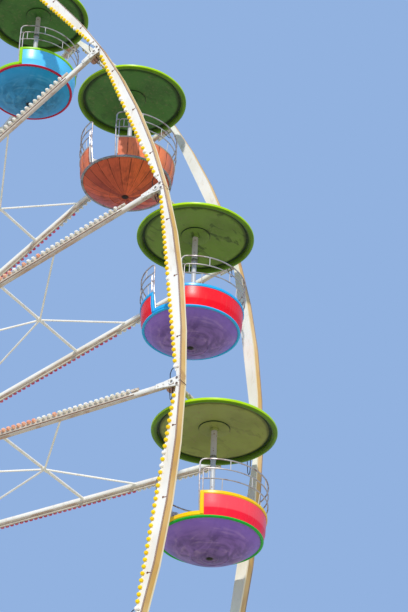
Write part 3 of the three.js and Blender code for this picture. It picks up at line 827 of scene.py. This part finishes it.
def lamp(shape, place, out, radius, height, sides, look, dome=DOME):
    """A domed cap."""
    shape.stack(place, out, [(r * radius, h * height) for r, h in dome], sides, look)


def bays():
    """(start, way, length, outward) of each bay's straight inner edge, in the wheel's plane."""
    for angle in ANGLES:
        start = HUB + radial(angle)[0] * RIM_CORNER
        edge = HUB + radial(angle - BAY)[0] * RIM_CORNER - start
        yield start, edge.normalized(), edge.length, radial(angle - BAY / 2)[0]


def rim_lamps(side):
    """Caps along the inner edge of each bay, on a strip of the rim's outer face."""
    shape = Shape("rim_lamps")
    chance = random.Random(5 if side < 0 else 6)
    out = ALONG * side
    pitch, first, last, proud, margin, rare = 0.114, 0.272, 32, 0.008, 0.2, 0.07
    for start, way, length, outward in bays():
        edge = start + out * RIM_FACE
        strip = [edge + way * along + out * proud / 2 for along in (margin, length - margin)]
        shape.bar(*strip, 0.03, proud, out, "white")
        for n in range(last + 1):
            clear = (chance.random() < rare and n > 1) or n == last
            place = edge + way * (first + n * pitch) + out * (proud - 0.002)
            lamp(shape, place, out, 0.036, 0.040, 8, "lamp_clear" if clear else "lamp_yellow")
        shape.bolt(edge + way * (first + last * pitch + 0.02) + outward * 0.045, out, 0.015, "bracket")
    return shape


def spoke_face(radius):
    share = (radius - SPOKE_ROOT) / (SPOKE_TIP - SPOKE_ROOT)
    return SPOKE_ROOT_FACE + share * (SPOKE_TIP_FACE - SPOKE_ROOT_FACE)


def by_spoke(side, angle):
    """A function for places by a spoke: at a radius, across towards its lamps, and proud of its face."""
    outward, clockwise = radial(angle)

    def at(r, across, proud):
        return HUB + outward * r + clockwise * across * side + ALONG * side * (spoke_face(r) + proud)
    return at


def spoke_place(side, angle, radius):
    """A place on the middle of a front or back spoke."""
    return by_spoke(side, angle)(radius, SPOKE_SHIFT[side], -SPOKE_SINK[side])


def spoke_frame(shape, angle):
    """The front and back spoke at an angle, with the axle, ties and braces between them."""
    def across(radius):
        return [spoke_place(side, angle, radius) for side in (-1, 1)]
    for side, parts in SPOKE_PARTS.items():
        for *ends, look in parts:
            shape.tube([spoke_place(side, angle, radius) for radius in ends], SPOKE_RADIUS, 18, look)
    shape.tube(across(AXLE_RADIUS), AXLE_TUBE, 16, "spoke")
    for radius in TIES:
        shape.tube(across(radius), TIE_TUBE, 12, "tie")
    middle = HUB + radial(angle)[0] * TIES[0]
    shape.tube([middle - ALONG * TIE_SLEEVE_HALF, middle + ALONG * TIE_SLEEVE_HALF], TIE_SLEEVE, 12, "tie")
    for side, radius in BRACES:
        shape.tube([middle, spoke_place(side, angle, radius)], BRACE_TUBE, 8, "tie")


def spoke_frames(quadrant):
    """A quarter of the spokes, with its axles, ties and braces, and its part of the hub's flanges."""
    shape = Shape("spoke_frames")
    first, gap = quadrant * QUARTER, 0.001
    for k in range(SPOKES_EACH):
        spoke_frame(shape, first + k * BAY)
    start = first - BAY / 2 + gap
    inner, outer = FLANGE
    section = rounded(outer - inner, FLANGE_DEPTH, 0.012)
    for side in (-1, 1):
        rings = []
        for angle in arc(start, start + QUARTER - 2 * gap, 24):
            outward = radial(angle)[0]
            middle = HUB + outward * (inner + outer) / 2 + ALONG * side * FLANGE_Y
            rings.append([middle + outward * x + ALONG * y for x, y in section])
        shape.skin(rings, "spoke")
    return shape


def spoke_lamps(quadrant):
    """Caps along one edge of each spoke of a quarter, pale near the rim and tinted further in."""
    shape = Shape("spoke_lamps")
    chance = random.Random(20 + quadrant)
    pitch, first, last, tinted = 0.105, 1.5, 15.17, 13.3
    for angle in ANGLES[quadrant * SPOKES_EACH:(quadrant + 1) * SPOKES_EACH]:
        for side, tint in ((-1, "lamp_salmon"), (1, "lamp_red")):
            at, out, seat, width = by_spoke(side, angle), ALONG * side, LAMP_SEAT[side], TRAY_WIDTH[side]
            inner, sunk = TRAY_EDGE - width, seat - TRAY_THICK / 2
            middle = inner + width / 2
            shape.bar(at(first, middle, sunk), at(last, middle, sunk), width, TRAY_THICK, out, "tray")
            shape.bar(at(last + 0.05, LAMP_ACROSS - 0.004, seat), at(last + 0.19, LAMP_ACROSS - 0.006, seat),
                      0.052, 0.036, out, "bracket")
            # A rusty cable in the tray's corner, dark enough to paint the shadow line under the lamps.
            shadow_line_cable = inner - 0.004, seat - 0.004
            shape.tube([at(first, *shadow_line_cable), at(last + 0.1, *shadow_line_cable)], 0.006, 6, "bearing")
            for n in range(int((last - first) / pitch) + 1):
                r = last - n * pitch
                look = tint if r < tinted + chance.uniform(-0.5, 0.5) else "lamp_clear"
                lamp(shape, at(r, LAMP_ACROSS + 0.002, seat), out, 0.040, 0.054, 6, look, PLAIN_DOME)
    return shape


def washer(shape, place, out, radius, look, core):
    """A raised ring round a recessed core."""
    ring = [(0.58, 0.0), (1.0, 0.0), (1.0, 0.3), (0.9, 0.4), (0.58, 0.32)]
    plug = 0.6 * radius
    shape.lathe(place, out, [(r * radius, h * radius) for r, h in ring], 12, look)
    shape.lathe(place, out, [(0.0, 0.0), (plug, 0.0), (plug, 0.0015), (0.0, 0.0015)], 12, core)


# At a joint: outlines of (across, radius), and cables of (radius, across, depth from the rim's face)
GUSSET = [(-0.042, 15.70), (0.042, 15.70), (0.050, 15.84), (0.084, 16.05), (0.086, 16.125),
          (-0.086, 16.125), (-0.084, 16.05), (-0.050, 15.84)]
SHOE = [(-0.036, 15.74), (0.036, 15.74), (0.036, 16.08), (-0.036, 16.08)]
GUSSET_THICK, SHOE_DEPTH = 0.012, 0.075
BARREL = [(0.0, 0.0), (0.070, 0.0), (0.084, 0.012), (0.084, 0.06), (0.072, 0.075), (0.05, 0.10), (0.0, 0.10)]
UPPER_CABLE = [(16.075, -0.285, 0.01), (16.038, -0.275, 0.012), (15.985, -0.235, 0.008),
               (15.950, -0.175, -0.01), (15.942, -0.11, -0.03), (15.948, -0.03, -0.04)]
LOWER_CABLE = [(15.90, 0.03, -0.09), (15.910, 0.13, -0.09), (15.920, 0.19, -0.088), (15.938, 0.214, -0.085),
               (15.955, 0.19, -0.082), (15.962, 0.13, -0.08), (15.965, 0.03, -0.08)]
CABLE_TUBE = 0.0075
CABLE_SLACK = {-1: 1.4, 1: 1.7}             # of the lower loops at the front and back joints


def joints(side):
    """Where spoke, rim and axle meet: gusset, boss, bolts, rusty barrel and slack loops of cable."""
    shape = Shape("joints")
    chance = random.Random(40 + side)
    out, face = ALONG * side, RIM_FACE + 0.001
    front = face + GUSSET_THICK
    for angle in ANGLES:
        outward, clockwise = radial(angle)

        def at(r, across, depth):
            return HUB + outward * r + clockwise * across + out * depth
        shape.plate(GUSSET, HUB + out * face, out, outward, GUSSET_THICK, "white")
        shape.plate(SHOE, HUB + out * (face - SHOE_DEPTH), out, outward, SHOE_DEPTH, "white")
        washer(shape, at(AXLE_RADIUS, 0, front), out, 0.050, "white", "steel")
        for across in (-0.055, 0.055):
            washer(shape, at(16.098, across, front), out, 0.024, "steel", "bearing")
        for r in (15.745, 15.86):
            shape.bolt(at(r, 0, front), out, 0.012, "white")
        shape.lathe(at(15.90, 0, RIM_BACK), out, BARREL, 18, "housing")
        slack = chance.uniform(0.75, 1.15) * CABLE_SLACK[side]
        lower = [(r, across * (slack if across > 0.05 else 1.0), depth) for r, across, depth in LOWER_CABLE]
        for loop in (UPPER_CABLE, lower):
            path = [at(r, across, RIM_FACE + depth) for r, across, depth in loop]
            shape.tube(path, CABLE_TUBE, 6, "cable")
    return shape


def rim_fittings(side):
    """A brown bead round the rim's outer corner, which paints the shadow line there, and rusty clips on each
    bay's face.
    """
    shape = Shape("rim_fittings")
    out = ALONG * side
    ways = [radial(i * BAY / RIM_ARC_STEPS)[0] for i in range(GONDOLAS * RIM_ARC_STEPS)]
    # The bead is a painted shadow line along the outer edge of the white face.
    path = [HUB + way * (RIM_OUTER - 0.008) + out * RIM_FACE for way in ways]
    shape.sweep(path, rounded(0.007, 0.010, 0.002), ways, "bearing", True)
    chord, clip = RIM_CORNER * cos(BAY / 2), 0.062
    for start, way, length, outward in bays():
        for share in (0.193, 0.495, 0.795):
            place = start + way * (length * share) + out * (RIM_FACE + 0.0005)
            top = sqrt(RIM_OUTER ** 2 - ((share - 0.5) * length) ** 2) - chord - 0.012
            foot = place + outward * (top - clip)
            shape.bar(foot, place + outward * top, 0.014, 0.006, out, "bearing")
            shape.bolt(foot, out, 0.013, "bearing")
    return shape


HUB_FACE, SHAFT_END = FLANGE_Y + FLANGE_DEPTH / 2, 2.33
HUB_RIB, HUB_RIB_DEPTH = [(-0.01, 0.66), (0.01, 0.66), (0.01, 1.16), (-0.01, 1.16)], 0.05
SHAFT_CAP = [(0.0, 0.0), (0.19, 0.0), (0.19, 0.02), (0.15, 0.035), (0.0, 0.04)]


def hub_fittings():
    """Bolt circles, ribs and end caps on the hub."""
    shape = Shape("hub_fittings")
    for side in (-1, 1):
        out = ALONG * side
        face = HUB + out * HUB_FACE
        for angle in ANGLES:
            between, outward = radial(angle - BAY / 2)[0], radial(angle)[0]
            shape.bolt(face + between * 0.62, out, 0.030, "bearing")
            shape.bolt(face + between * 1.2, out, 0.022, "bearing")
            shape.plate(HUB_RIB, face + out * 0.0005, out, between, HUB_RIB_DEPTH, "white")
            for r in (0.98, 1.08, 1.2):
                shape.bolt(face + outward * r, out, 0.02, "steel")
        end = HUB + out * SHAFT_END
        shape.lathe(end, out, SHAFT_CAP, 32, "steel")
        for angle in full_turn(8):
            shape.bolt(end + radial(angle)[0] * 0.165 + out * 0.028, out, 0.018, "bearing")
    return shape


# Stands
BEARING_Y, BEARING_HALF, BEARING_BOLT = 1.99, 0.26, 0.36
BEARING_RING = [(0.235, 0.0), (0.33, 0.0), (0.33, 0.02), (0.30, 0.045), (0.25, 0.045), (0.235, 0.03)]
FOOT_X, FOOT_Y, FOOT_TOP = 9.0, 3.4, 0.0605
LEG_FACE, SPLICE_THICK = 0.1705, 0.016
SPLICE = [(-0.19, -0.4), (0.19, -0.4), (0.19, 0.4), (-0.19, 0.4)]


def leg_splices(shape, top, foot, out):
    """Plates with eight bolts each along a leg's outer face."""
    way = (foot - top).normalized()
    across = out.cross(way).normalized()
    proud = way.cross(across).normalized()
    proud *= 1 if proud.dot(out) > 0 else -1
    for share in (0.22, 0.42, 0.62, 0.82):
        place = top + (foot - top) * share + proud * LEG_FACE
        shape.plate(SPLICE, place, proud, way, SPLICE_THICK, "support")
        for x in (-0.13, 0.13):
            for y in (-0.32, -0.16, 0.16, 0.32):
                shape.bolt(place + across * x + way * y + proud * SPLICE_THICK, proud, 0.02, "bearing")


def foot_fittings(shape, foot):
    """Anchor bolts at a foot plate's corners, and ribs on both sides of the leg."""
    for x in (-0.6, 0.6):
        for y in (-0.6, 0.6):
            shape.bolt(foot + Vector((x, y, FOOT_TOP)), UP, 0.035, "bearing")
    for x, inner in ((-0.5, 0.16), (0.5, -0.1)):
        rib = [(-0.16, 0), (0.16, 0), (inner, 0.26), (inner - 0.06, 0.26)]
        for y in (-0.12, 0.12):
            shape.plate(rib, foot + Vector((x, y, FOOT_TOP)), ALONG, UP, 0.02, "support")


def stand_fittings(side):
    """Bearing ring and its bolts, splice plates on the legs, and anchor bolts with ribs on the feet."""
    shape = Shape("stand_fittings")
    out = ALONG * side
    outer = HUB + out * (BEARING_Y + BEARING_HALF)
    for x in (-BEARING_BOLT, BEARING_BOLT):
        for z in (-BEARING_BOLT, BEARING_BOLT, 0.0):
            shape.bolt(outer + Vector((x, 0, z)), out, 0.035, "bearing")
    shape.lathe(outer, out, BEARING_RING, 36, "steel")
    top = Vector((0, side * BEARING_Y, HUB.z))
    for hand in (-1, 1):
        foot = Vector((hand * FOOT_X, side * FOOT_Y, 0))
        leg_splices(shape, top, foot, out)
        foot_fittings(shape, foot)
    return shape


# Assembly
def dress_frame():
    """Finishes for the CAD nodes that stay in sight."""
    looks = {"front_rim": "rim", "back_rim": "rim", "hub_axle": "steel", "front_support": "support",
             "back_support": "support", "base_frame": "base", "boarding_deck": "deck"}
    for name, look in looks.items():
        data = frame["nodes"][name].data
        data.materials.clear()
        data.materials.append(finishes[look])


FLOOR_RADIUS, FLOOR_SIDES, FLOOR_DROP = 240.0, 128, 0.002


def pale_floor():
    """A wide round floor just under the feet."""
    data = bpy.data.meshes.new("floor")
    edge = [(x, y, 0) for x, y in circle(FLOOR_RADIUS, FLOOR_SIDES)]
    data.from_pydata(edge, [], [tuple(range(len(edge)))])
    f = Finish("pale_floor", rgb(230, 214, 188), 0.8)
    f.lay(rgb(224, 207, 180), f.noise(6.0, 2.0))
    data.materials.append(f.material)
    ground = add("floor", data, Vector((0, 0, -FLOOR_DROP)))


def wheel_and_stands():
    for side, hand in ((-1, "front"), (1, "back")):
        for name, make in (("rim_lamps", rim_lamps), ("joints", joints), ("rim_fittings", rim_fittings)):
            put(f"{hand}_{name}", make(side).mesh(), "wheel")
        put(f"{hand}_stand_fittings", stand_fittings(side).mesh(), "base")
    for quarter in range(QUADRANTS):
        put(f"spoke_lamps_{quarter + 1}", spoke_lamps(quarter).mesh(), "wheel")
        put(f"spoke_frames_{quarter + 1}", spoke_frames(quarter).mesh(), "wheel",
            replaces=[f"spoke_quadrant_{quarter + 1}"])
    put("hub_fittings", hub_fittings().mesh(), "wheel")


camera_and_light()
pale_floor()
dress_frame()
gondolas()
wheel_and_stands()
